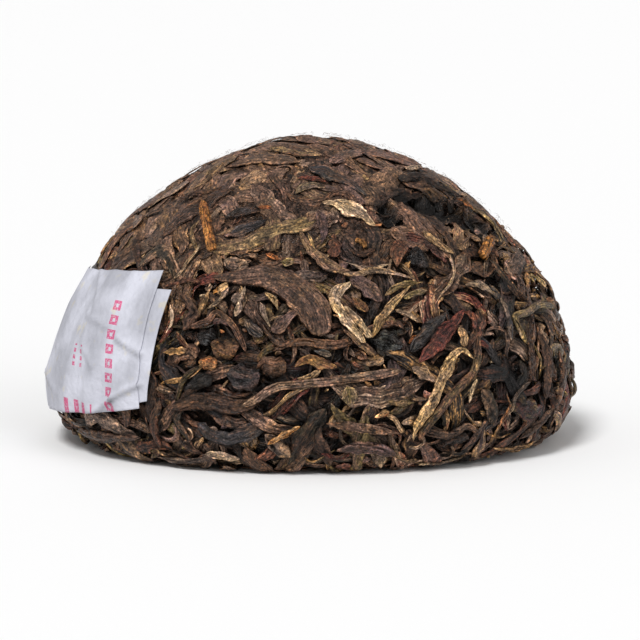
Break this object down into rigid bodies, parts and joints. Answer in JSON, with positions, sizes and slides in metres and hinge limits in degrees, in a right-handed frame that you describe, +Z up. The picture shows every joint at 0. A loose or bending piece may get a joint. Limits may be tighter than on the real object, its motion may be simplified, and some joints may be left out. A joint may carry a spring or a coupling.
{
  "type": "pu erh tuocha",
  "caption": "Bowl-shaped cake of pressed dark tea leaves, dome up, with a hollow underside and a small paper slip pressed on its side.",
  "frame": {"origin": "on the floor, under the middle of the dome", "axes": "+Z up through the dome's top; the front, with the slip at its left, faces -Y"},
  "size_m": [0.104, 0.1045, 0.06],
  "materials": {
    "tea_leaves": "matte dry leaf, pressed, dark brown with tan and ochre stems",
    "slip_paper": "thin creased tissue paper, pale bluish white"
  },
  "bodies": {
    "root": {"tea_cake": "tea_leaves", "paper_slip": "slip_paper"}
  },
  "joints": []
}
